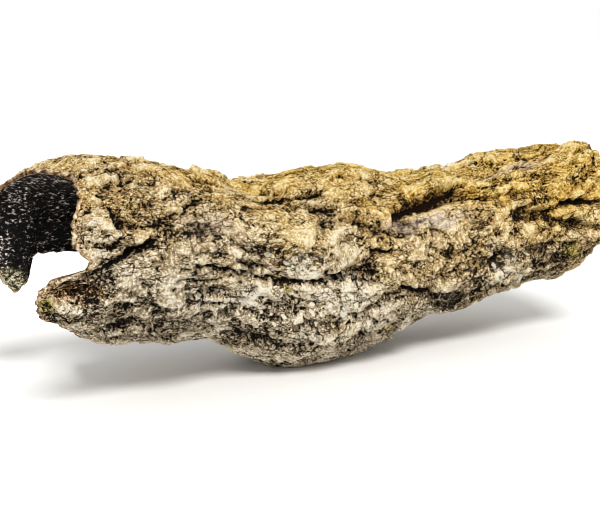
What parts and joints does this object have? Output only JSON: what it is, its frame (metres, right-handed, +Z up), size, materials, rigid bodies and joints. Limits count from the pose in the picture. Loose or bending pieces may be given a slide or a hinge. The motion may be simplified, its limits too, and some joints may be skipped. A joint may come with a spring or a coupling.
{
  "type": "hollow piece of cork bark",
  "caption": "Hollow, lengthwise split tube of furrowed cork bark with broken rims, lying on its belly; a natural hide, planter or display piece.",
  "frame": {"origin": "on the surface that the belly rests on, under the middle of the piece's bounding box", "axes": "+X along the branch from the wide mouth to the thin end, +Y to the side of the split, +Z up"},
  "size_m": [0.4522, 0.1286, 0.1445],
  "materials": {
    "bark": "rough, dry and matt weathered cork"
  },
  "bodies": {
    "root": {"bark": "bark"}
  },
  "joints": []
}
